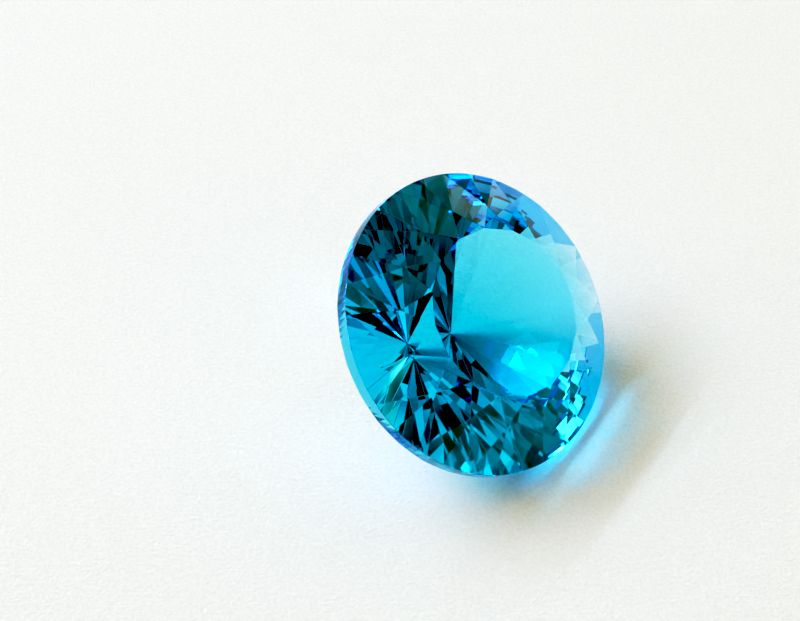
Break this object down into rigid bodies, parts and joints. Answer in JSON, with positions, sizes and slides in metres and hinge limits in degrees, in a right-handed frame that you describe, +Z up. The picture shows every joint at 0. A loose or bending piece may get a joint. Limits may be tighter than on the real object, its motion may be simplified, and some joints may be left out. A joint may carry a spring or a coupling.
{
  "type": "blue topaz gemstone",
  "caption": "Round faceted blue topaz with a flat table, a low crown, a narrow girdle and a pointed pavilion. It lies tilted on one long facet of the pavilion.",
  "frame": {"origin": "on the surface the stone lies on, under the middle of its box", "axes": "+Z up from the surface; the table leans 39.5 degrees from +Z, towards 37.5 degrees from +X to -Y"},
  "size_m": [0.0178, 0.0188, 0.0135],
  "materials": {
    "topaz_blue": "polished flat facets on clear blue crystal, refractive index 1.62, with a nearly polished girdle"
  },
  "bodies": {
    "root": {"topaz": "topaz_blue"}
  },
  "joints": []
}
